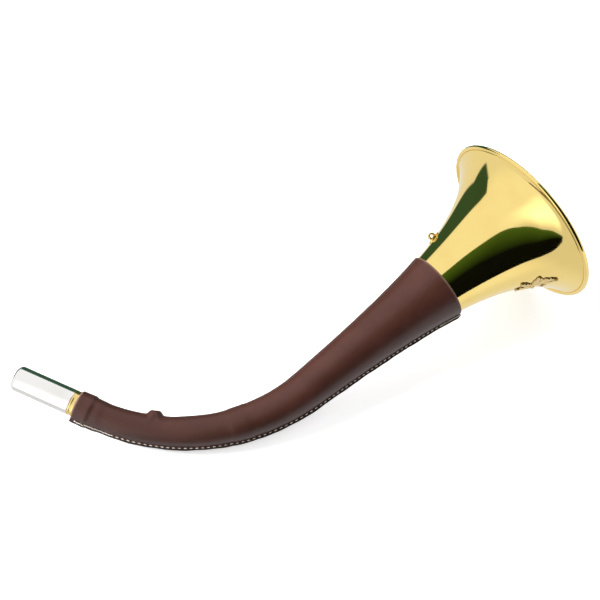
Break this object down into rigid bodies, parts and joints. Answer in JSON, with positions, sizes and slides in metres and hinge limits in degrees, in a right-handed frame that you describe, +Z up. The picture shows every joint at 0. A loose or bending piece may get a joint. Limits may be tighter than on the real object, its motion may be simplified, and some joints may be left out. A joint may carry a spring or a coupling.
{
  "type": "reed call horn",
  "caption": "Curved conical brass call horn with a flared bell, a sewn leather cover, a strap eye, a strap stud and a pull-off reed mouthpiece, lying on its side.",
  "frame": {"origin": "centre of the box round the horn, on the surface it lies on", "axes": "+Z up; the horn lies on its side and +X runs along the bell's axis in plan, out of the bell; the mouthpiece lies towards -X and +Y"},
  "size_m": [0.3128, 0.167, 0.1108],
  "materials": {
    "polished_brass": "mirror polished",
    "plain_brass": "drawn, unpolished",
    "turned_brass": "fine turned",
    "cast_brass": "cast and polished on the high points",
    "reed_brass": "rolled, spring hard",
    "nickel": "polished nickel plate",
    "brown_leather": "smooth satin calf",
    "pale_thread": "waxed linen thread"
  },
  "bodies": {
    "horn": {"bell": "polished_brass", "rim_wire": "plain_brass", "main_branch": "plain_brass", "branch_ferrule": "plain_brass", "mouth_branch": "plain_brass", "receiver": "turned_brass", "bell_eye_plate": "polished_brass", "bell_eye": "polished_brass", "stud_plate": "plain_brass", "strap_stud": "plain_brass", "emblem": "cast_brass", "leather_sleeve": "brown_leather", "seam_thread": "pale_thread"},
    "reed_carrier": {"reed_block": "turned_brass", "reed_shallot": "turned_brass", "reed_wedge": "turned_brass"},
    "tongue": {"reed_tongue": "reed_brass"},
    "wind_cap": {"mouthpiece": "nickel"}
  },
  "joints": [
    {"name": "block_pull", "type": "slide", "parent": "horn", "child": "reed_carrier", "axis": [-0.4953, 0.8661, 0.0676], "range_m": [0, 0.012]},
    {"name": "tongue_flex", "type": "hinge", "parent": "reed_carrier", "child": "tongue", "pos_m": [-0.13722, 0.05662, 0.01178], "axis": [0.8431, 0.4605, 0.2777], "range_deg": [-2, 1], "stiffness_Nm_per_rad": 0.02},
    {"name": "cap_pull", "type": "slide", "parent": "reed_carrier", "child": "wind_cap", "axis": [-0.4953, 0.8661, 0.0676], "range_m": [0, 0.036]}
  ]
}
